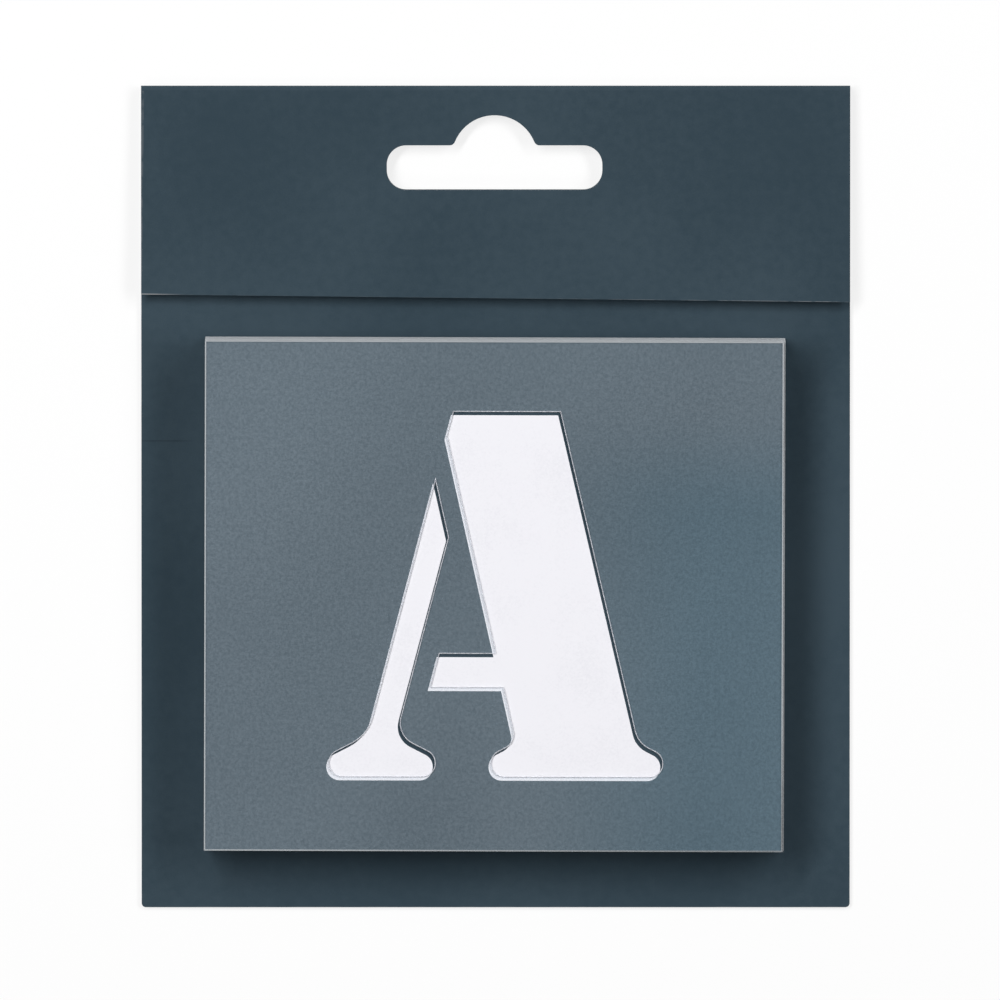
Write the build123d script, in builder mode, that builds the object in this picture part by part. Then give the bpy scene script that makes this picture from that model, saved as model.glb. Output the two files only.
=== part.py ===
from build123d import *
import math
import os

# A hanging card with a pile of 26 lettering stencils, lying on its back.
# X runs to the right, Y towards the hang hole and Z out of the card's face, in millimetres.
# The origin is under the middle of the card, on the surface that it lies on.

# Card, one strip that is folded over along its top edge
card_width = 100.0
card_thickness = 0.45
card_corner = 0.6
fold_radius = 0.25  # inside of the fold
flap_depth_left = 29.45  # from the fold's outside to the flap's free edge
flap_depth_right = 30.55
flap_lift = 0.6  # how far the free edge springs up from lying parallel to the card

# Hang hole, through the card and its flap
hole_drop = 11.55  # from the fold's outside to the middle of the slot
hole_shift = -0.15
hole_width = 30.4
hole_height = 6.3
hole_corner_share = 0.43  # of the slot's height that a corner's radius takes
hole_head_radius = 6.05
hole_head_rise = 1.35  # middle of the round head above the middle of the slot
hole_fillet = 0.8

# Pile of sheets and the strips of adhesive tape under it
plate_width = 81.6
plate_margin = 10.24  # above and below the capitals
plate_thickness = 0.2
letter_sheet_thickness = 0.3
letter_sheet_inset = 0.15
sheet_gap = 0.02  # air between two sheets
pile_shift = -0.15  # middle of the pile beside the middle of the card
pile_drop = 5.1  # from the flap's free edge to the pile
pile_foot = 8.5  # from the pile to the card's lower edge
pile_turn = -0.16  # degrees
stagger = 0.12  # how far a sheet lies off the middle of the pile
stagger_turn = 137.5  # degrees from one sheet's offset to the next one's
tape_width = 8.0
tape_margin = 6.0  # from a strip to the sides of the pile
tape_thickness = 0.2

# Lettering, as it is cut through the plates
cap_height = 51.7
stem_width = 16.8
hair_width = 4.0
bar_height = 4.8
bridge_width = 3.0  # web that is left between two cuts of a letter
serif_tip = 3.1
arm_fillet = 4.6
shelf_height = 4.6
stem_reach = 3.5  # serif beyond a heavy stroke
hair_reach = 5.5  # serif beyond a light stroke
arm_drop = 15.0
arm_root = 8.6
serif_gap = 4.0  # between the heads of two strokes
middle_drop = 4.2
middle_root = 6.4
overshoot = 0.8  # round letters pass the cap and base lines by this
round_hair = 4.6
letter_shift_x = 0.36
letter_shift_y = 0.3
heavy_share = 1.12  # of the stem width, level across the steepest heavy strokes
tip_share = 0.6  # of a serif's tip that its rounding takes
serif_rise_share = 0.51  # of a serif's reach that its upper side rises by
bracket_share = 0.42  # of a serif's upper side that its bracket takes

overrun = 1.0  # that openings and webs are cut past a surface by

middle_y = cap_height / 2
plate_height = cap_height + 2 * plate_margin
card_height = flap_depth_right + pile_drop + plate_height + pile_foot
pile_y = (pile_foot + plate_height / 2) - card_height / 2
fold_y = card_height / 2 - fold_radius - card_thickness
fold_z = card_thickness + fold_radius
flap_tilt = math.degrees(math.asin(flap_lift / flap_depth_right))
tip_radius = tip_share * serif_tip


# Edges of letter strokes. An edge is its place on the base line and its place on the cap line.


def upright(place):
    """An upright edge."""
    return (place, place)


def slant(base_share, cap_share):
    """A slanting edge, its two places given as shares of the cap height."""
    return (base_share * cap_height, cap_share * cap_height)


def beside(edge, distance):
    """The edge that runs beside another one, to its right."""
    return (edge[0] + distance, edge[1] + distance)


def x_at(edge, height):
    return edge[0] + (edge[1] - edge[0]) * height / cap_height


def toward(place, edge, height):
    """The edge from a place on the base line that meets another edge at a height."""
    return (place, place + (x_at(edge, height) - place) * cap_height / height)


def level_width(edge, width):
    """How far apart, measured level, the edges of a stroke of that true width are."""
    return width * math.hypot(edge[1] - edge[0], cap_height) / cap_height


def on(edge, height):
    """A sharp corner on an edge."""
    return (x_at(edge, height), height, 0)


def crossing(one, other):
    """The sharp corner where two edges meet."""
    lean = (one[1] - one[0]) - (other[1] - other[0])
    return on(one, cap_height * (other[0] - one[0]) / lean)


# Pieces of letters. A corner is its x, its y and the radius that it is rounded by.


def outline(corners):
    """A closed outline of straight runs with rounded corners."""
    places = [corner[:2] for corner in corners]
    radii = [corner[2] for corner in corners]
    with BuildLine() as run:
        FilletPolyline(*places, radius=radii, close=True)
    make_face(run.line)


def serif(edge, side, level, reach, both_round):
    """Corners of half a serif, from the stroke out to its flat side on the base or cap line."""
    inward = 1 if level == 0 else -1
    root_level = level + inward * (serif_tip + serif_rise_share * reach)
    root = Vector(x_at(edge, root_level), root_level)
    tip = Vector(root.X + side * reach, level + inward * serif_tip)
    slope = Vector(inward * (edge[1] - edge[0]), inward * cap_height)
    half_turn = math.radians((root - tip).get_angle(slope)) / 2
    bracket = bracket_share * (root - tip).length / math.tan(half_turn)
    heel_radius = tip_radius if both_round else 0
    return [(root.X, root.Y, bracket), (tip.X, tip.Y, tip_radius), (tip.X, level, heel_radius)]


def stroke_end(edge, side, level, reach, both_round):
    """Corners at one end of an edge: half a serif, or a plain corner where the reach is zero."""
    if reach == 0:
        return [on(edge, level)]
    return serif(edge, side, level, reach, both_round)


def foot(left, right, reaches, both_round=False):
    """Corners of a stroke's lower end, from its left edge to its right one."""
    left_end = stroke_end(left, -1, 0, reaches[0], both_round)
    return left_end + stroke_end(right, 1, 0, reaches[1], both_round)[::-1]


def head(left, right, reaches):
    """Corners of a stroke's upper end, from its right edge to its left one."""
    right_end = stroke_end(right, 1, cap_height, reaches[1], False)
    return right_end + stroke_end(left, -1, cap_height, reaches[0], False)[::-1]


stem_serifs = (stem_reach, stem_reach)
hair_serifs = (hair_reach, hair_reach)
left_serif = (stem_reach, 0)
plain = (0, 0)
stem_end = stem_width + bridge_width  # where what stands beside a stem from 0 begins
arm_start = stem_end + arm_root


def stroke(left, width, feet=stem_serifs, heads=stem_serifs):
    """A stroke from the base line to the cap line."""
    right = beside(left, width)
    outline(foot(left, right, feet) + head(left, right, heads))


def heavy_down(left, thin_left, heads):
    """A heavy stroke from the cap line that ends against the web beside a light stroke."""
    right = beside(left, stem_width)
    web = beside(thin_left, -bridge_width)
    outline([on(left, 0), on(web, 0), crossing(right, web)] + head(left, right, heads))


def bar(left, right, low):
    """A level bar whose ends follow two edges."""
    high = low + bar_height
    outline([on(left, low), on(right, low), on(right, high), on(left, high)])


def arm(start, end, level, drop=arm_drop):
    """An arm along the base or cap line, from an edge out to an upright serif."""
    inward = 1 if level == 0 else -1
    side = 1 if end > x_at(start, level) else -1
    under = level + inward * bar_height
    tip = level + inward * drop
    outline(
        [
            on(start, level),
            (end, level, 0),
            (end, tip, 0),
            (end - side * serif_tip, tip, tip_radius),
            (end - side * arm_root, under, arm_fillet),
            on(start, under),
        ]
    )


def middle_arm(start, end, low):
    """A short level arm that ends in a serif above and below it."""
    high = low + bar_height
    outline(
        [
            (start, low, 0),
            (end - middle_root, low, serif_tip),
            (end - serif_tip, low - middle_drop, tip_radius),
            (end, low - middle_drop, 0),
            (end, high + middle_drop, 0),
            (end - serif_tip, high + middle_drop, tip_radius),
            (end - middle_root, high, serif_tip),
            (start, high, 0),
        ]
    )


def oval(place, mode=Mode.ADD):
    """An upright oval, given by its middle and its two half widths."""
    with Locations(place[:2]):
        Ellipse(*place[2:], mode=mode)


def block(left, right, low, high, mode=Mode.ADD):
    """An upright block, or the opening that one leaves, between two uprights and two levels."""
    with Locations(((left + right) / 2, (low + high) / 2)):
        Rectangle(right - left, high - low, mode=mode)


def ring(outer, counter, left, right, low=-overrun, high=cap_height + overrun):
    """The part of an oval ring between two uprights and two levels."""
    with BuildSketch() as band:
        oval(outer)
        oval(counter, Mode.SUBTRACT)
        block(left, right, low, high, Mode.INTERSECT)
    add(band.sketch)


def bowl(start, hollow, low, high, heavy):
    """A half ring round a hollow, which bulges to the right from an upright at start."""
    middle = (low + high) / 2
    half = (high - low) / 2
    outer = (start, middle, hollow + heavy, half)
    counter = (start, middle, hollow, half - round_hair)
    ring(outer, counter, start, start + hollow + heavy + overrun)


# The letters. Each draws the cuts of its plate around an upright through the middle of its base line.


def letter_a():
    right = slant(0.417, 0.181)
    left = beside(slant(0.408, 0.181), -stem_width)
    web = beside(left, -bridge_width)
    flank = toward(-0.372 * cap_height, left, 0.933 * cap_height)
    leg_right = beside(flank, hair_width)
    outline(
        foot(left, right, stem_serifs, both_round=True)
        + [on(right, cap_height), on(flank, cap_height), crossing(flank, left)]
    )
    outline(
        foot(flank, leg_right, hair_serifs, both_round=True)
        + [crossing(leg_right, web), crossing(flank, web)]
    )
    bar(beside(leg_right, bridge_width), beside(left, bridge_width), 0.245 * cap_height)


def letter_b():
    waist = 0.49 * cap_height
    stroke(upright(0), stem_width, left_serif, left_serif)
    bowl(stem_end, 0.117 * cap_height, waist, cap_height, 0.88 * stem_width)
    bowl(stem_end, 0.129 * cap_height, 0, waist + round_hair, stem_width)


def round_letter(half_width, counter_shift, counter_half):
    """Outer oval and counter of a full round letter."""
    outer = (0, middle_y, half_width, middle_y + overshoot)
    counter = (counter_shift, middle_y, counter_half, middle_y + overshoot - round_hair)
    return outer, counter


def letter_c():
    half = 0.47 * cap_height
    outer, counter = round_letter(half, 0.05 * cap_height, 0.19 * cap_height)
    ring(outer, counter, -half, counter[0] - bridge_width / 2)
    ring(outer, counter, counter[0] + bridge_width / 2, half, 0.64 * cap_height)
    ring(outer, counter, counter[0] + bridge_width / 2, half, high=0.3 * cap_height)
    block(half - serif_tip, half, 0.6 * cap_height, cap_height)


def letter_d():
    stroke(upright(0), stem_width, left_serif, left_serif)
    bowl(stem_end, 0.229 * cap_height, 0, cap_height, stem_width)


def letter_e():
    stroke(upright(0), stem_width, left_serif, left_serif)
    arm(upright(stem_end), arm_start + 0.215 * cap_height, cap_height)
    arm(upright(stem_end), arm_start + 0.245 * cap_height, 0)
    middle_arm(stem_end, stem_end + middle_root + 0.118 * cap_height, middle_y - bar_height / 2)


def letter_f():
    stroke(upright(0), stem_width, stem_serifs, left_serif)
    arm(upright(stem_end), arm_start + 0.225 * cap_height, cap_height)
    middle_arm(stem_end, stem_end + middle_root + 0.127 * cap_height, middle_y - bar_height / 2)


def letter_g():
    half = 0.47 * cap_height
    outer, counter = round_letter(half, 0.03 * cap_height, 0.17 * cap_height)
    shelf = 0.40 * cap_height
    ring(outer, counter, -half, counter[0] - bridge_width / 2)
    ring(outer, counter, counter[0] + bridge_width / 2, half, 0.66 * cap_height)
    ring(outer, counter, counter[0] + bridge_width / 2, half, high=shelf)
    block(half - serif_tip, half, 0.6 * cap_height, cap_height)
    block(counter[0] + counter[2] - stem_reach, half + stem_reach, shelf - shelf_height, shelf)


def letter_h():
    inner = 0.17 * cap_height
    stroke(upright(-inner - stem_width), stem_width)
    stroke(upright(inner), stem_width)
    bar(upright(bridge_width - inner), upright(inner + bridge_width), middle_y - bar_height / 2)


def letter_i():
    stroke(upright(-stem_width / 2), stem_width)


def letter_j():
    left = -0.02 * cap_height
    right = left + stem_width
    turn = 0.3 * cap_height
    counter_half = 0.1 * cap_height
    middle = left - counter_half
    outer = (middle, turn, right - middle, turn + overshoot)
    counter = (middle, turn, counter_half, turn + overshoot - round_hair)
    outline([(left, turn, 0), (right, turn, 0)] + head(upright(left), upright(right), stem_serifs))
    ring(outer, counter, middle + bridge_width / 2, right, high=turn)
    ring(outer, counter, 2 * middle - right, middle - bridge_width / 2, high=turn)
    with Locations((middle - counter_half - stem_width / 2, turn)):
        Circle(stem_width / 2)


def letter_k():
    left = upright(-0.47 * cap_height)
    start = upright(left[0] + stem_width + bridge_width)
    arm_left = slant(-0.42, 0.27)
    arm_right = beside(arm_left, level_width(arm_left, hair_width))
    leg_left = slant(0.20, -0.24)
    leg_right = beside(leg_left, heavy_share * stem_width)
    stroke(left, stem_width)
    outline(
        [crossing(arm_left, start), crossing(arm_right, start)]
        + head(arm_left, arm_right, hair_serifs)
    )
    outline(
        foot(leg_left, leg_right, stem_serifs)
        + [crossing(leg_right, arm_left), crossing(leg_left, arm_left)]
    )


def letter_l():
    stroke(upright(0), stem_width, left_serif, stem_serifs)
    arm(upright(stem_end), arm_start + 0.245 * cap_height, 0, 1.25 * arm_drop)


def letter_m():
    leg = upright(-0.53 * cap_height)
    leg_right = beside(leg, hair_width)
    left = slant(-0.055, -0.60)
    web = beside(left, -bridge_width)
    thin_left = slant(0.03, 0.30)
    thin_right = beside(thin_left, hair_width)
    stem = upright(0.25 * cap_height)
    end = beside(stem, -bridge_width)
    outline(foot(leg, leg_right, hair_serifs) + [crossing(leg_right, web), crossing(leg, web)])
    heavy_down(left, thin_left, left_serif)
    outline(
        [on(thin_left, 0), on(thin_right, 0), crossing(thin_right, end), crossing(thin_left, end)]
    )
    stroke(stem, stem_width, stem_serifs, (0, stem_reach))


def letter_n():
    leg = upright(-0.42 * cap_height)
    right_leg = upright(0.42 * cap_height - hair_width)
    left = (0.42 * cap_height - stem_width, -0.49 * cap_height)
    right = beside(left, stem_width)
    web = beside(left, -bridge_width)
    right_web = beside(right, bridge_width)
    leg_right = beside(leg, hair_width)
    right_leg_right = beside(right_leg, hair_width)
    outline(foot(leg, leg_right, hair_serifs) + [crossing(leg_right, web), crossing(leg, web)])
    outline([on(left, 0), on(right, 0)] + head(left, right, left_serif))
    outline(
        [crossing(right_leg, right_web), crossing(right_leg_right, right_web)]
        + head(right_leg, right_leg_right, hair_serifs)
    )


def letter_o():
    half = 0.49 * cap_height
    outer, counter = round_letter(half, 0, half - stem_width)
    ring(outer, counter, -half, -bridge_width / 2)
    ring(outer, counter, bridge_width / 2, half)


def letter_p():
    stroke(upright(0), stem_width, stem_serifs, left_serif)
    bowl(stem_end, 0.139 * cap_height, 0.42 * cap_height, cap_height, stem_width)


def letter_q():
    letter_o()
    tail_left = slant(0.16, -0.16)
    tail_right = beside(tail_left, 0.8 * stem_width)
    outline(
        [
            on(tail_left, -0.1 * cap_height),
            on(tail_right, -0.1 * cap_height),
            on(tail_right, 0.16 * cap_height),
            on(tail_left, 0.16 * cap_height),
        ]
    )


def letter_r():
    waist = 0.46 * cap_height
    leg_left = beside(slant(0.23, 0.05), stem_end)
    leg_right = beside(leg_left, stem_width)
    stroke(upright(0), stem_width, stem_serifs, left_serif)
    bowl(stem_end, 0.165 * cap_height, waist, cap_height, 0.95 * stem_width)
    outline(
        foot(leg_left, leg_right, (0, stem_reach))
        + [on(leg_right, waist + round_hair / 2), on(leg_left, waist + round_hair / 2)]
    )


def letter_s():
    spine = 0.28 * cap_height
    half_height = (middle_y + overshoot + spine / 2) / 2
    counter_half = (middle_y + overshoot - round_hair - spine / 2) / 2
    upper = (0, cap_height + overshoot - half_height, 0.37 * cap_height, half_height)
    lower = (0, half_height - overshoot, 0.41 * cap_height, half_height)
    upper_counter = (0, middle_y + spine / 2 + counter_half, 0.14 * cap_height, counter_half)
    lower_counter = (0, middle_y - spine / 2 - counter_half, 0.14 * cap_height, counter_half)
    web = bridge_width / 2
    with BuildSketch() as upper_half:
        oval(upper)
        block(0, upper[2], 0, upper_counter[1], Mode.SUBTRACT)
        oval(upper_counter, Mode.SUBTRACT)
        block(upper[2] - serif_tip, upper[2], 0.66 * cap_height, cap_height)
        block(-web, web, upper_counter[1], cap_height + overrun, Mode.SUBTRACT)
    with BuildSketch() as lower_half:
        oval(lower)
        block(-lower[2], 0, lower_counter[1], cap_height, Mode.SUBTRACT)
        oval(lower_counter, Mode.SUBTRACT)
        block(-lower[2], serif_tip - lower[2], 0, 0.34 * cap_height)
        block(-web, web, -overrun, lower_counter[1], Mode.SUBTRACT)
    add(upper_half.sketch)
    add(lower_half.sketch)


def letter_t():
    stroke(upright(0), stem_width, stem_serifs, plain)
    arm(upright(stem_end), arm_start + 0.085 * cap_height, cap_height)
    left_end = stem_width - arm_start - 0.085 * cap_height
    arm(upright(-bridge_width), left_end, cap_height)


def letter_u():
    left = -0.44 * cap_height
    right = 0.40 * cap_height
    turn = 0.33 * cap_height
    outer = ((left + right) / 2, turn, (right - left) / 2, turn + overshoot)
    counter_left = left + stem_width
    counter_right = right - hair_width
    middle = (counter_left + counter_right) / 2
    counter = (middle, turn, (counter_right - counter_left) / 2, turn + overshoot - round_hair)
    outline(
        [(left, turn, 0), (counter_left, turn, 0)]
        + head(upright(left), upright(counter_left), stem_serifs)
    )
    outline(
        [(counter_right, turn, 0), (right, turn, 0)]
        + head(upright(counter_right), upright(right), hair_serifs)
    )
    ring(outer, counter, left, middle - bridge_width / 2, high=turn)
    ring(outer, counter, middle + bridge_width / 2, right, high=turn)


def letter_v():
    thin_left = slant(0.03, 0.36)
    heavy_down(slant(-0.09, -0.47), thin_left, stem_serifs)
    stroke(thin_left, hair_width, plain, hair_serifs)


def letter_w():
    first = slant(0, -0.28)
    second_head = first[1] + stem_width + serif_gap + 2 * stem_reach
    second = (second_head + 0.28 * cap_height, second_head)
    web = beside(second, -bridge_width)
    thin = toward(0.10 * cap_height, web, 0.744 * cap_height)
    thin_right = beside(thin, hair_width)
    last = (second[0] + 0.10 * cap_height, second_head + stem_width + serif_gap + hair_reach)
    heavy_down(first, thin, stem_serifs)
    outline([on(thin, 0), on(thin_right, 0), crossing(thin_right, web), crossing(thin, web)])
    heavy_down(second, last, left_serif)
    stroke(last, hair_width, plain, hair_serifs)


def letter_x():
    left = slant(0.10, -0.42)
    right = beside(left, stem_width)
    thin_left = slant(-0.38, 0.29)
    thin_right = beside(thin_left, level_width(thin_left, hair_width))
    web = beside(left, -bridge_width)
    right_web = beside(right, bridge_width)
    stroke(left, stem_width)
    outline(
        foot(thin_left, thin_right, hair_serifs)
        + [crossing(thin_right, web), crossing(thin_left, web)]
    )
    outline(
        [crossing(thin_left, right_web), crossing(thin_right, right_web)]
        + head(thin_left, thin_right, hair_serifs)
    )


def letter_y():
    stem = upright(-stem_width / 2)
    stem_right = upright(stem_width / 2)
    left = slant(0.04, -0.46)
    right = beside(left, stem_width)
    thin_left = slant(-0.13, 0.33)
    thin_right = beside(thin_left, hair_width)
    web = beside(right, bridge_width)
    outline(
        foot(stem, stem_right, stem_serifs)
        + [crossing(stem_right, right)]
        + head(left, right, stem_serifs)
        + [crossing(stem, left)]
    )
    outline(
        [crossing(thin_left, web), crossing(thin_right, web)]
        + head(thin_left, thin_right, hair_serifs)
    )


def letter_z():
    left = (-0.42 * cap_height, 0.41 * cap_height - heavy_share * stem_width)
    right = beside(left, heavy_share * stem_width)
    outline([on(left, 0), on(right, 0), on(right, cap_height), on(left, cap_height)])
    arm(beside(left, -bridge_width), -0.42 * cap_height, cap_height)
    arm(beside(right, bridge_width), 0.42 * cap_height, 0)


letters = {
    "z": letter_z,
    "y": letter_y,
    "x": letter_x,
    "w": letter_w,
    "v": letter_v,
    "u": letter_u,
    "t": letter_t,
    "s": letter_s,
    "r": letter_r,
    "q": letter_q,
    "p": letter_p,
    "o": letter_o,
    "n": letter_n,
    "m": letter_m,
    "l": letter_l,
    "k": letter_k,
    "j": letter_j,
    "i": letter_i,
    "h": letter_h,
    "g": letter_g,
    "f": letter_f,
    "e": letter_e,
    "d": letter_d,
    "c": letter_c,
    "b": letter_b,
    "a": letter_a,
}


# The card. Its panel lies flat, and its flap hangs on the fold's axis, tilted by the lift of its free edge.


def hang_hole():
    """The slot with a round head that the card hangs by, drawn around the middle of its slot."""
    with BuildSketch() as hole:
        with Locations((0, hole_head_rise)):
            Circle(hole_head_radius)
        block(-hole_head_radius, hole_head_radius, -hole_head_radius, 0, Mode.SUBTRACT)
        RectangleRounded(hole_width, hole_height, hole_corner_share * hole_height)
        shoulders = hole.vertices().sort_by_distance((0, hole_height / 2))[:2]
        fillet(shoulders, hole_fillet)
    return hole.sketch


hole_y = -(hole_drop - fold_radius - card_thickness)  # from the fold's axis to the slot
flap_reach_left = flap_depth_left - fold_radius - card_thickness
flap_reach_right = flap_depth_right - fold_radius - card_thickness

with BuildPart() as back_panel:
    with BuildSketch():
        with Locations((0, fold_y)):
            Rectangle(card_width, fold_y + card_height / 2, align=(Align.CENTER, Align.MAX))
            with Locations((hole_shift, hole_y)):
                add(hang_hole(), mode=Mode.SUBTRACT)
    extrude(amount=card_thickness)
    lower_corners = back_panel.edges().filter_by(Axis.Z).group_by(Axis.Y)[0]
    fillet(lower_corners, card_corner)
back_panel.part.label = "back_panel"

flap_plane = Plane(
    origin=(0, fold_y, fold_z),
    x_dir=(1, 0, 0),
    z_dir=(0, math.sin(math.radians(flap_tilt)), math.cos(math.radians(flap_tilt))),
)
with BuildPart() as header_flap:
    with BuildSketch(flap_plane.offset(fold_radius)):
        with BuildLine():
            Polyline(
                (-card_width / 2, 0),
                (-card_width / 2, -flap_reach_left),
                (card_width / 2, -flap_reach_right),
                (card_width / 2, 0),
                close=True,
            )
        make_face()
        with Locations((hole_shift, hole_y)):
            add(hang_hole(), mode=Mode.SUBTRACT)
    extrude(amount=card_thickness)
header_flap.part.label = "header_flap"

with BuildPart() as fold_crease:
    with BuildSketch(Plane.XZ.offset(-fold_y)):
        Rectangle(card_width, card_thickness, align=(Align.CENTER, Align.MIN))
    fold_axis = Axis((0, fold_y, fold_z), (1, 0, 0))
    revolve(axis=fold_axis, revolution_arc=180 - flap_tilt)
fold_crease.part.label = "fold_crease"

# The pile, from the tape on the card up to the front plate


def sheet_plane(height, index):
    """Where the underside of a sheet lies. Each sheet is a little off the middle of the pile."""
    turn = math.radians(index * stagger_turn)
    place = (pile_shift + stagger * math.cos(turn), pile_y + stagger * math.sin(turn), height)
    return Plane(place).rotated((0, 0, pile_turn))


tape_spacing = plate_height - tape_width - 2 * tape_margin
with BuildPart() as tape_strips:
    with BuildSketch(Plane((pile_shift, pile_y, card_thickness)).rotated((0, 0, pile_turn))):
        with GridLocations(0, tape_spacing, 1, 2):
            Rectangle(plate_width - 2 * tape_margin, tape_width)
    extrude(amount=tape_thickness)
tape_strips.part.label = "tape_strips"

height = card_thickness + tape_thickness
pieces = [back_panel, header_flap, fold_crease, tape_strips]
for index, (letter, draw_cuts) in enumerate(letters.items()):
    if letter == "a":
        with BuildPart() as letter_sheet:
            with BuildSketch(sheet_plane(height, index)):
                Rectangle(plate_width - 2 * letter_sheet_inset, plate_height - 2 * letter_sheet_inset)
            extrude(amount=letter_sheet_thickness)
        letter_sheet.part.label = "letter_sheet"
        pieces.append(letter_sheet)
        height += letter_sheet_thickness + sheet_gap
    with BuildSketch() as cuts:
        draw_cuts()
    letter_middle = cuts.sketch.bounding_box().center().X
    with BuildPart() as stencil:
        with BuildSketch(sheet_plane(height, index)):
            Rectangle(plate_width, plate_height)
            with Locations((letter_shift_x - letter_middle, letter_shift_y - middle_y)):
                add(cuts.sketch, mode=Mode.SUBTRACT)
        extrude(amount=plate_thickness)
    stencil.part.label = f"stencil_{letter}"
    pieces.append(stencil)
    height += plate_thickness + sheet_gap

os.makedirs("parts", exist_ok=True)
for piece in pieces:
    export_step(piece.part, f"parts/{piece.part.label}.step")
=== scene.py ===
import math

import bmesh
import bpy
from mathutils import Matrix, Vector


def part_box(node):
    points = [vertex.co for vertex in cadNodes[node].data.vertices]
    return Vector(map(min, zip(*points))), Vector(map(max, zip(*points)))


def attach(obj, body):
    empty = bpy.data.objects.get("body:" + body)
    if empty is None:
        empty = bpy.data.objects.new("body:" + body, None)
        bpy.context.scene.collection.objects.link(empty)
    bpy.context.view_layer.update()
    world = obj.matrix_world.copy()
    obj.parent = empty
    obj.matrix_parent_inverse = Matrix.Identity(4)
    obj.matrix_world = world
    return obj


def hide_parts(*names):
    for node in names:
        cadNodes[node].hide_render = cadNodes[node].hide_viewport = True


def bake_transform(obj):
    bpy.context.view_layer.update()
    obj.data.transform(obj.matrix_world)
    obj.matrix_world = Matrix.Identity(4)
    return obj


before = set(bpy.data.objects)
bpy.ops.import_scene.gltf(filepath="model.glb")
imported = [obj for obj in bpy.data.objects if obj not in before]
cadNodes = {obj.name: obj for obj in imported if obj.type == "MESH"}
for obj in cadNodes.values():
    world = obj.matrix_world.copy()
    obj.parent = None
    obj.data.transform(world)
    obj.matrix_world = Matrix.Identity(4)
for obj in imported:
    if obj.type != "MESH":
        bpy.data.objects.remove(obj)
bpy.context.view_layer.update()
scene = bpy.context.scene
mm = 0.001
weld = 0.001 * mm  # points nearer than this are one


# Shader values: one small class, so that a pattern reads as an expression
class Value:
    def __init__(self, shader, socket):
        self.shader = shader
        self.socket = socket

    def math(self, operation, first, second=0.0):
        return self.shader.add("ShaderNodeMath", {"operation": operation}, {0: first, 1: second})

    def __add__(self, other):
        return self.math("ADD", self, other)

    def __sub__(self, other):
        return self.math("SUBTRACT", self, other)

    def __rsub__(self, other):
        return self.math("SUBTRACT", other, self)

    def __mul__(self, other):
        return self.math("MULTIPLY", self, other)

    def __abs__(self):
        return self.math("ABSOLUTE", self)

    def least(self, other):
        return self.math("MINIMUM", self, other)

    def most(self, other):
        return self.math("MAXIMUM", self, other)

    __radd__ = __add__
    __rmul__ = __mul__


# A material, or the world, and the nodes that are added to it
class Shader:
    def __init__(self, name, collection=bpy.data.materials):
        self.owner = collection.new(name)
        self.owner.use_nodes = True
        self.tree = self.owner.node_tree
        self.tree.nodes.clear()

    def add(self, kind, settings=None, sockets=None, output=0):
        node = self.tree.nodes.new(kind)
        for key, setting in (settings or {}).items():
            setattr(node, key, setting)
        for key, value in (sockets or {}).items():
            if isinstance(value, Value):
                self.tree.links.new(value.socket, node.inputs[key])
            else:
                node.inputs[key].default_value = value
        return Value(self, node.outputs[output]) if node.outputs else None

    def place(self, centre=(0, 0, 0), turn=0.0):
        objectPlace = self.add("ShaderNodeTexCoord", output="Object")
        sockets = {"Vector": objectPlace, "Location": centre, "Rotation": (0, 0, turn)}
        return self.add("ShaderNodeMapping", {"vector_type": "TEXTURE"}, sockets)

    def parts(self, vector):
        split = self.add("ShaderNodeSeparateXYZ", None, {0: vector})
        outputs = split.socket.node.outputs
        return [Value(self, socket) for socket in outputs]

    def facing(self):  # the three parts of the piece's own normal
        return self.parts(self.add("ShaderNodeTexCoord", output="Normal"))

    def wall(self):  # 1 on the cut edges, 0 on the flat faces
        x, y = self.facing()[:2]
        return self.ramp(abs(x).most(abs(y)), 0.5, 0.7)

    def endWall(self):  # 1 on the faces that look left or right
        return self.ramp(abs(self.facing()[0]), 0.5, 0.7)

    def noise(self, place, size, detail=2.0, roughness=0.5):
        sockets = {"Vector": place, "Scale": 1 / size, "Detail": detail, "Roughness": roughness}
        return self.add("ShaderNodeTexNoise", None, sockets)

    # start where the value is below low, end where it is above high, smooth between
    def ramp(self, value, low, high, start=0.0, end=1.0):
        settings = {"interpolation_type": "SMOOTHSTEP"}
        sockets = {0: value, 1: low, 2: high, 3: start, 4: end}
        return self.add("ShaderNodeMapRange", settings, sockets)

    def vary(self, noise, start=0.0, end=1.0):  # the span that most of a noise lies in
        return self.ramp(noise, 0.3, 0.7, start, end)

    def mix(self, factor, first, second):
        sockets = {"Factor": factor, 6: colour(first), 7: colour(second)}
        return self.add("ShaderNodeMix", {"data_type": "RGBA"}, sockets, 2)

    def bump(self, height, strength, depth):
        sockets = {"Height": height, "Strength": strength, "Distance": depth}
        return self.add("ShaderNodeBump", None, sockets)

    def finish(self, **sockets):
        values = {name.replace("_", " "): value for name, value in sockets.items()}
        surface = self.add("ShaderNodeBsdfPrincipled", None, values)
        self.add("ShaderNodeOutputMaterial", None, {"Surface": surface})
        return self.owner


def colour(value):
    return value if isinstance(value, Value) else (*value, 1.0)


def dress(piece, material):
    piece.data.materials.clear()
    piece.data.materials.append(material)


def corner(node, right, up):  # the corner of a sheet that lies furthest that way
    points = [vertex.co for vertex in cadNodes[node].data.vertices]
    return max(points, key=lambda point: point.x * right + point.y * up).copy()


def newPiece(name, shape, body, material):
    mesh = bpy.data.meshes.new(name)
    shape.to_mesh(mesh)
    shape.free()
    piece = bpy.data.objects.new(name, mesh)
    scene.collection.objects.link(piece)
    dress(piece, material)
    if body:
        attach(piece, body)
    return piece


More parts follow.
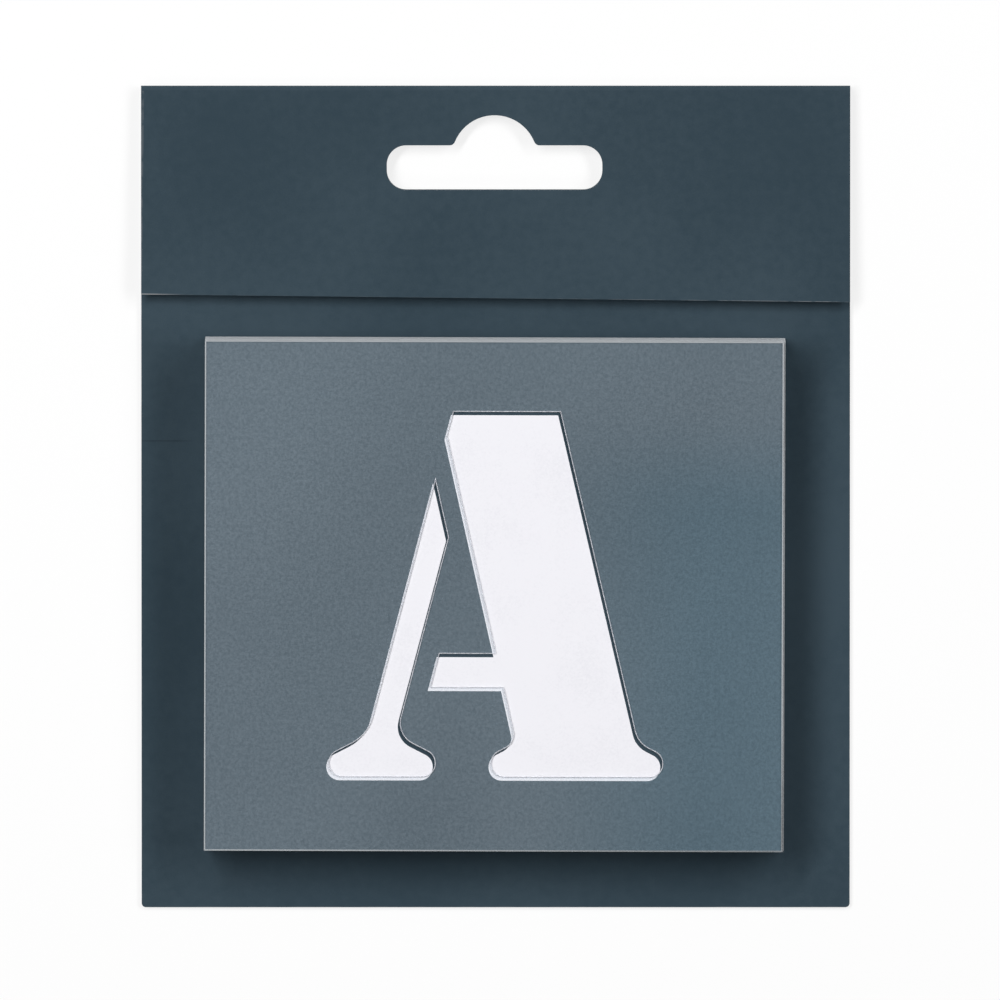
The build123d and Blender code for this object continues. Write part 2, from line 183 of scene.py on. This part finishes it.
# Card
card = {
    "print": (0.0292, 0.0505, 0.0675),
    "printLight": (0.0415, 0.0665, 0.086),
    "board": (0.42, 0.42, 0.43),
    "cloudSize": 34 * mm,
    "mottleSize": 1.1 * mm,
    "fibreSize": 0.22 * mm,
    "toneShares": (0.6, 0.22, 0.18),  # of cloud, mottle and fibre
    "toneSpan": (0.32, 0.68),
    "roughness": (0.5, 0.62),
    "sheen": 0.12,
    "fibreDepth": 0.03 * mm,
    "wearWidth": 0.12 * mm,
    "wearBreak": 3 * mm,
    "wearSide": 0.12,
    "wearSheet": 0.2,
    "wearFree": (0.04, 0.34),  # along the flap's free edge, from its middle to its right end
    "bareWall": {"panel": 0.5, "flap": 0.35, "sheet": 0.6, "fold": 0.5},  # board on cut edges
    "tornReach": 7 * mm,
    "tornWidth": 0.22 * mm,
    "tornShare": 0.75,
    # a dark line of painted shade along a faint dent in the panel
    "dentHeight": 7.9 * mm,
    "dentWidth": 0.16 * mm,
    "dentReach": 8 * mm,
    "dentShadeShare": 0.3,
}


def printedBoard(shader, worn, dentShade=None):
    place = shader.place()
    cloud = shader.noise(place, card["cloudSize"], 1.0)
    mottle = shader.noise(place, card["mottleSize"], 3.0)
    fibre = shader.noise(place, card["fibreSize"], 2.0, 0.6)
    cloudShare, mottleShare, fibreShare = card["toneShares"]
    tone = cloud * cloudShare + mottle * mottleShare + fibre * fibreShare
    printed = shader.mix(shader.ramp(tone, *card["toneSpan"]), card["print"], card["printLight"])
    if dentShade:
        # painted shade: the print is darkened along the dent's line
        printed = shader.mix(dentShade * card["dentShadeShare"], printed, (0, 0, 0))
    return shader.finish(
        Base_Color=shader.mix(worn, printed, card["board"]),
        Roughness=shader.vary(mottle, *card["roughness"]),
        Specular_IOR_Level=card["sheen"],
        Normal=shader.bump(fibre + mottle * 0.6, 0.25, card["fibreDepth"]),
    )


# The board shows in short broken lines where the print has rubbed off
def wornEdge(shader, rim, share):
    broken = shader.noise(shader.place(), card["wearBreak"], 3.0, 0.7)
    line = shader.ramp(rim, card["wearWidth"] * 0.5, card["wearWidth"], share, 0.0)
    return line * shader.ramp(broken, 0.4, 0.6)


def panelMaterial():
    low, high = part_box("back_panel")
    shader = Shader("printedCard.panel")
    x, y = shader.parts(shader.place())[:2]
    rim = (x - low.x).least(high.x - x).least(y - low.y)
    # painted shade of a faint dent where the card was bent: a dark line from its left edge to the
    # plates
    dentShade = shader.ramp(abs(y - card["dentHeight"]), 0.0, card["dentWidth"], 1.0, 0.0)
    dentShade = dentShade * shader.ramp(x - low.x, card["dentReach"] * 0.6, card["dentReach"], 1.0, 0.0)
    worn = wornEdge(shader, rim, card["wearSide"]).most(shader.wall() * card["bareWall"]["panel"])
    return printedBoard(shader, worn, dentShade)


def flapMaterial():
    corners = corner("header_flap", -1, -1), corner("header_flap", 1, -1)
    edge = corners[1] - corners[0]
    shader = Shader("printedCard.flap")
    x, y = shader.parts(shader.place(corners[0], math.atan2(edge.y, edge.x)))[:2]
    side = wornEdge(shader, x.least(edge.length - x), card["wearSide"])
    bare = shader.ramp(x, 0.5 * edge.length, edge.length, *card["wearFree"])
    free = wornEdge(shader, y, 1.0) * bare
    torn = shader.ramp(x, 0.0, card["tornReach"], card["tornShare"], 0.0)
    torn = torn * shader.ramp(y, 0.0, card["tornWidth"], 1.0, 0.0)
    wall = shader.wall() * card["bareWall"]["flap"]
    return printedBoard(shader, side.most(free).most(torn).most(wall))


def letterPaperMaterial():
    low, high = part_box("letter_sheet")
    shader = Shader("letterPaper")
    x, y = shader.parts(shader.place())[:2]
    rim = (x - low.x).least(high.x - x).least(y - low.y).least(high.y - y)
    worn = wornEdge(shader, rim, card["wearSheet"]).most(shader.wall() * card["bareWall"]["sheet"])
    return printedBoard(shader, worn)


def foldMaterial():
    shader = Shader("foldedCard")
    return printedBoard(shader, shader.endWall() * card["bareWall"]["fold"])


dress(cadNodes["back_panel"], panelMaterial())
dress(cadNodes["header_flap"], flapMaterial())
dress(cadNodes["letter_sheet"], letterPaperMaterial())
print("card dressed")


# Crease: the card's fold, drawn as a half-round skin in place of the fold_crease part
crease = {"steps": 16}


def foldedEdge():
    low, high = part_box("fold_crease")
    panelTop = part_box("back_panel")[1].z
    axis = Vector((0, low.y, (low.z + high.z) / 2))
    shape = bmesh.new()
    corners = [shape.verts.new((low.x, low.y, level)) for level in (low.z, panelTop)]
    strip = bmesh.ops.extrude_edge_only(shape, edges=[shape.edges.new(corners)])
    ends = [part for part in strip["geom"] if isinstance(part, bmesh.types.BMVert)]
    bmesh.ops.translate(shape, verts=ends, vec=(high.x - low.x, 0, 0))
    bmesh.ops.spin(
        shape,
        geom=shape.verts[:] + shape.edges[:] + shape.faces[:],
        cent=axis,
        axis=(1, 0, 0),
        angle=math.pi,
        steps=crease["steps"],
    )
    bmesh.ops.remove_doubles(shape, verts=shape.verts, dist=weld)
    bmesh.ops.recalc_face_normals(shape, faces=shape.faces)
    return newPiece("crease_skin", shape, None, foldMaterial()), low, high


foldPiece, foldLow, foldHigh = foldedEdge()
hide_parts("fold_crease")
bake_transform(foldPiece)
print("crease made")


# Plates
plate = {
    "haze": (0.74, 0.88, 1.0),
    "hazeDeep": (0.52, 0.77, 0.94),
    "hazeUnder": (0.78, 0.84, 0.87),
    "hazeUnderLight": (0.88, 0.91, 0.92),
    "hazeShare": 0.067,
    "cloudSize": 35 * mm,
    "cloudSwing": (0.92, 1.08),
    "frostSize": 0.5 * mm,
    "grainSize": 0.24 * mm,
    "grainSwing": (0.74, 1.26),
    "grainDepth": 0.01 * mm,
    "sideLightSwing": (1.1, 0.96),  # painted light: the haze is stronger at the left edge, falling off to right of the middle
    "roughness": (0.32, 0.45),
    "ior": 1.49,
    "gloss": 0.3,
    # rim: the cut walls' own pale colour, and the colour of a painted highlight along the plate's
    # rim
    "rim": (0.56, 0.59, 0.615),
    "rimHighlightShare": 0.55,
    "rimHighlightWidth": 0.22 * mm,
    "wallShare": 0.92,
    "bottomRimShade": (0.2, 0.68),  # painted shade of the lower rim's highlight, from left to right
    "rightRimShade": 0.7,  # painted shade of the right rim's highlight, at its foot
    "margin": 4 * mm,  # no letter comes nearer to the plate's edge
}


def plateOutline(node):
    topLeft, topRight = corner(node, -1, 1), corner(node, 1, 1)
    bottomLeft, bottomRight = corner(node, -1, -1), corner(node, 1, -1)
    centre = (topLeft + topRight + bottomLeft + bottomRight) / 4
    edge = topRight - topLeft
    side = topLeft - bottomLeft
    return Vector((centre.x, centre.y, 0)), math.atan2(edge.y, edge.x), edge.length, side.length


def plateMaterial(node):
    centre, turn, width, height = plateOutline(node)
    shader = Shader("frostedPlate." + node)
    place = shader.place(centre, turn)
    x, y = shader.parts(place)[:2]
    cloud = shader.noise(place, plate["cloudSize"])
    frost = shader.noise(place, plate["frostSize"], 2.0, 0.6)
    grain = shader.noise(place, plate["grainSize"], 1.0)
    rim = (width / 2 - abs(x)).least(height / 2 - abs(y))
    # painted highlight: a pale band along the plate's rim
    edge = shader.ramp(rim, plate["rimHighlightWidth"] * 0.6, plate["rimHighlightWidth"], 1.0, 0.0)
    wall = shader.wall()

    # the haze's strength: random cloud and grain, and painted light that is stronger towards the
    # left
    milkAndSideLight = shader.vary(cloud, *plate["cloudSwing"])
    milkAndSideLight = milkAndSideLight * shader.ramp(frost + grain, 0.7, 1.3, *plate["grainSwing"])
    milkAndSideLight = milkAndSideLight * shader.ramp(x, width * -0.5, width * 0.1, *plate["sideLightSwing"])
    if node == "stencil_a":  # the front plate is bluer towards its lower right
        deep = shader.ramp(x, width * 0.02, width * 0.4)
        deep = deep * shader.ramp(y, height * 0.15, height * 0.38, 1.0, 0.0)
        haze = shader.mix(deep, plate["haze"], plate["hazeDeep"])
    else:
        haze = shader.mix(shader.vary(cloud), plate["hazeUnder"], plate["hazeUnderLight"])

    # painted shade: the rim's highlight dims along the bottom, more to the right, and up the right
    # side from its foot
    bottomShade = shader.ramp(y, height * -0.48, height * -0.42, 1.0, 0.0)
    bottomShade = bottomShade * shader.ramp(x, width * -0.5, width * 0.5, *plate["bottomRimShade"])
    right = shader.ramp(x, width * 0.42, width * 0.48)
    right = right * shader.ramp(y, height * -0.48, height * -0.2, plate["rightRimShade"], 0.0)
    rimHighlightAndWall = edge * plate["rimHighlightShare"] * (1 - bottomShade.most(right))
    rimHighlightAndWall = rimHighlightAndWall.most(wall * plate["wallShare"])
    return shader.finish(
        Base_Color=shader.mix(edge.most(wall), haze, plate["rim"]),
        Alpha=(milkAndSideLight * plate["hazeShare"]).most(rimHighlightAndWall),
        Roughness=shader.vary(frost, *plate["roughness"]),
        IOR=plate["ior"],
        Specular_IOR_Level=plate["gloss"],
        Normal=shader.bump(frost + grain * 0.5, 0.2, plate["grainDepth"]),
    )


plates = [name for name in cadNodes if name.startswith("stencil_")]
for name in plates:
    dress(cadNodes[name], plateMaterial(name))
print("plates dressed:", len(plates))


# Printed letter on the dark sheet under the front plate
ink = {
    "white": (0.88, 0.875, 0.92),
    "worn": (0.74, 0.74, 0.79),
    "shift": Vector((-0.36, -0.55, 0)) * mm,
    "thickness": 0.006 * mm,
    "lift": 0.002 * mm,
    "wornShare": 0.35,
    "speckSize": 0.3 * mm,
    "speckDepth": 0.01 * mm,
    "cloudSize": 8 * mm,
    "roughness": (0.45, 0.6),
    "gloss": 0.3,
}


def inkMaterial():
    shader = Shader("whiteInk")
    place = shader.place()
    speck = shader.noise(place, ink["speckSize"], 3.0, 0.6)
    cloud = shader.noise(place, ink["cloudSize"])
    tone = shader.ramp(speck * 0.6 + cloud * 0.4, 0.3, 0.55, 1.0, 0.0) * ink["wornShare"]
    return shader.finish(
        Base_Color=shader.mix(tone, ink["white"], ink["worn"]),
        Roughness=shader.vary(speck, *ink["roughness"]),
        Specular_IOR_Level=ink["gloss"],
        Normal=shader.bump(speck, 0.15, ink["speckDepth"]),
    )


def cutLoops(node):  # the edges of the letter cut through a plate, on its upper face
    low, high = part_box(node)
    shape = bmesh.new()
    shape.from_mesh(cadNodes[node].data)
    bmesh.ops.remove_doubles(shape, verts=shape.verts, dist=weld)
    sunk = [vertex for vertex in shape.verts if vertex.co.z < high.z - 10 * weld]
    bmesh.ops.delete(shape, geom=sunk, context="VERTS")
    joined = [edge for edge in shape.edges if not edge.is_boundary]
    bmesh.ops.delete(shape, geom=shape.faces[:], context="FACES_ONLY")
    bmesh.ops.delete(shape, geom=joined, context="EDGES")
    outer = []
    for vertex in shape.verts:
        x, y = vertex.co.xy
        if min(x - low.x, high.x - x, y - low.y, high.y - y) < plate["margin"]:
            outer.append(vertex)
    bmesh.ops.delete(shape, geom=outer, context="VERTS")
    return shape


def printedLetter():
    shape = cutLoops("stencil_a")
    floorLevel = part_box("letter_sheet")[1].z + ink["lift"]
    for vertex in shape.verts:
        vertex.co.z = floorLevel
    bmesh.ops.edgeloop_fill(shape, edges=shape.edges)
    bmesh.ops.translate(shape, verts=shape.verts, vec=ink["shift"])
    top = bmesh.ops.extrude_face_region(shape, geom=shape.faces[:])
    raised = [part for part in top["geom"] if isinstance(part, bmesh.types.BMVert)]
    bmesh.ops.translate(shape, verts=raised, vec=(0, 0, ink["thickness"]))
    bmesh.ops.recalc_face_normals(shape, faces=shape.faces)
    return newPiece("printed_letter", shape, "letter_sheet", inkMaterial())


printedLetter()
print("letter printed")


# Cut edge of the front plate: a fine bead that the cutter left, coloured pale as a painted
# highlight along the cut
lip = {
    "width": 0.14 * mm,
    # pale colours of the painted highlight on the bead
    "clear": (0.80, 0.80, 0.87),
    "light": (0.90, 0.90, 0.95),
    "cover": (0.44, 0.62),
    "roughness": (0.25, 0.4),
    "beadSize": 0.5 * mm,
    "beadDepth": 0.02 * mm,
}


def lipHighlightMaterial():
    shader = Shader("cutEdgeHighlight")
    bead = shader.noise(shader.place(), lip["beadSize"], 2.0)
    upper = shader.ramp(shader.facing()[2], 0.0, 0.5)  # only the slopes that look up show the painted highlight
    return shader.finish(
        Base_Color=shader.mix(shader.vary(bead), lip["clear"], lip["light"]),
        Alpha=shader.vary(bead, *lip["cover"]) * upper,
        Roughness=shader.vary(bead, *lip["roughness"]),
        Normal=shader.bump(bead, 0.2, lip["beadDepth"]),
    )


def cutLip(node):
    shape = cutLoops(node)
    bmesh.ops.edgeloop_fill(shape, edges=shape.edges)
    bmesh.ops.recalc_face_normals(shape, faces=shape.faces)
    settings = {"use_replace": True, "use_boundary": True, "use_even_offset": True}
    bmesh.ops.wireframe(shape, faces=shape.faces[:], thickness=lip["width"], **settings)
    bmesh.ops.translate(shape, verts=shape.verts, vec=(0, 0, -lip["width"] / 2))
    bmesh.ops.recalc_face_normals(shape, faces=shape.faces)
    return newPiece("cut_lip_highlight", shape, node, lipHighlightMaterial())


cutLip("stencil_a")
print("cut edge made")


# Tape
tape = {
    "film": (0.75, 0.77, 0.74),
    "filmDark": (0.62, 0.64, 0.6),
    "cover": (0.4, 0.6),
    "roughness": (0.15, 0.3),
    "bubbleSize": 1.2 * mm,
    "bubbleDepth": 0.02 * mm,
    "fineSize": 0.2 * mm,
}


def tapeMaterial():
    shader = Shader("clearTape")
    place = shader.place()
    bubble = shader.noise(place, tape["bubbleSize"], 3.0)
    fine = shader.noise(place, tape["fineSize"])
    return shader.finish(
        Base_Color=shader.mix(bubble, tape["film"], tape["filmDark"]),
        Alpha=shader.vary(bubble, *tape["cover"]),
        Roughness=shader.vary(fine, *tape["roughness"]),
        Normal=shader.bump(bubble + fine * 0.3, 0.3, tape["bubbleDepth"]),
    )


dress(cadNodes["tape_strips"], tapeMaterial())
print("tape dressed")


# Floor, light and camera
studio = {
    "floorSize": 6.0,
    "floorDrop": 0.02 * mm,
    "floorWhite": (0.94, 0.94, 0.94),
    "glow": 0.75,  # share of the floor that is plain white to the camera
    "worldLevel": 0.035,
    "lens": 1400,
    "sensor": 36,
    "viewWidth": 141.14 * mm,
    "lean": 4.5,  # degrees that the camera looks from above the middle, towards the hang hole
    "aim": Vector((0.614, -0.464, 0.5)) * mm,
    "clearFaces": 120,  # a ray passes both faces of every clear plate in the pile
}
softboxes = {  # level is the brightness of the lamp's face
    "leftBox": {"place": (-0.78, 0.5, 1.0), "size": (0.22, 1.5), "level": 16.2},
    "rightBox": {"place": (0.98, 0.4, 0.78), "size": (0.26, 1.4), "level": 10.8},
    "frontBox": {"place": (-0.7, -0.95, 0.95), "size": (0.3, 0.9), "level": 3.0},
}


# 1 where the background is looked at, in glass and metal too
def pictureWhite(shader):
    seen = shader.add("ShaderNodeLightPath", output="Is Camera Ray")
    outputs = seen.socket.node.outputs
    for name in ("Is Glossy Ray", "Is Transmission Ray"):
        seen = seen.most(Value(shader, outputs[name]))
    return seen


def makeFloor():
    shape = bmesh.new()
    bmesh.ops.create_grid(shape, x_segments=1, y_segments=1, size=studio["floorSize"] / 2)
    bmesh.ops.translate(shape, verts=shape.verts, vec=(0, 0, -studio["floorDrop"]))
    shader = Shader("paleFloor")
    matt = shader.add("ShaderNodeBsdfDiffuse", None, {"Color": (*studio["floorWhite"], 1)})
    light = shader.add("ShaderNodeEmission", None, {"Color": (1, 1, 1, 1), "Strength": 1.0})
    sockets = {0: pictureWhite(shader) * studio["glow"], 1: matt, 2: light}
    surface = shader.add("ShaderNodeMixShader", None, sockets)
    shader.add("ShaderNodeOutputMaterial", None, {"Surface": surface})
    mesh = bpy.data.meshes.new("floor")
    shape.to_mesh(mesh)
    shape.free()
    floor = bpy.data.objects.new("floor", mesh)
    scene.collection.objects.link(floor)
    dress(floor, shader.owner)


def makeWorld():
    shader = Shader("studioRoom", bpy.data.worlds)
    seen = shader.add("ShaderNodeLightPath", output="Is Camera Ray")
    sockets = {"Value": seen, "To Min": studio["worldLevel"]}
    strength = shader.add("ShaderNodeMapRange", None, sockets)
    sockets = {"Color": (1, 1, 1, 1), "Strength": strength}
    background = shader.add("ShaderNodeBackground", None, sockets)
    shader.add("ShaderNodeOutputWorld", None, {"Surface": background})
    scene.world = shader.owner


def makeSoftbox(name, place, size, level):
    lamp = bpy.data.lights.new(name, "AREA")
    lamp.shape = "RECTANGLE"
    lamp.size, lamp.size_y = size
    lamp.energy = level * math.pi * size[0] * size[1]
    box = bpy.data.objects.new(name, lamp)
    box.location = place
    box.rotation_euler = Vector(place).to_track_quat("Z", "X").to_euler()
    box.visible_camera = False
    scene.collection.objects.link(box)


def makeCamera():
    camera = bpy.data.cameras.new("camera")
    camera.lens = studio["lens"]
    camera.sensor_width = studio["sensor"]
    distance = studio["viewWidth"] * studio["lens"] / studio["sensor"]
    camera.clip_start = distance / 100
    camera.clip_end = distance * 10
    lean = math.radians(studio["lean"])
    right = Vector((1, 0, 0))
    back = Vector((0, math.sin(lean), math.cos(lean)))
    turn = Matrix((right, back.cross(right), back)).transposed().to_4x4()
    holder = bpy.data.objects.new("camera", camera)
    holder.matrix_world = Matrix.Translation(studio["aim"] + back * distance) @ turn
    scene.collection.objects.link(holder)
    scene.camera = holder


makeFloor()
makeWorld()
for name, settings in softboxes.items():
    makeSoftbox(name, **settings)
makeCamera()
scene.view_settings.view_transform = "Standard"
scene.cycles.transparent_max_bounces = studio["clearFaces"]
print("studio set")
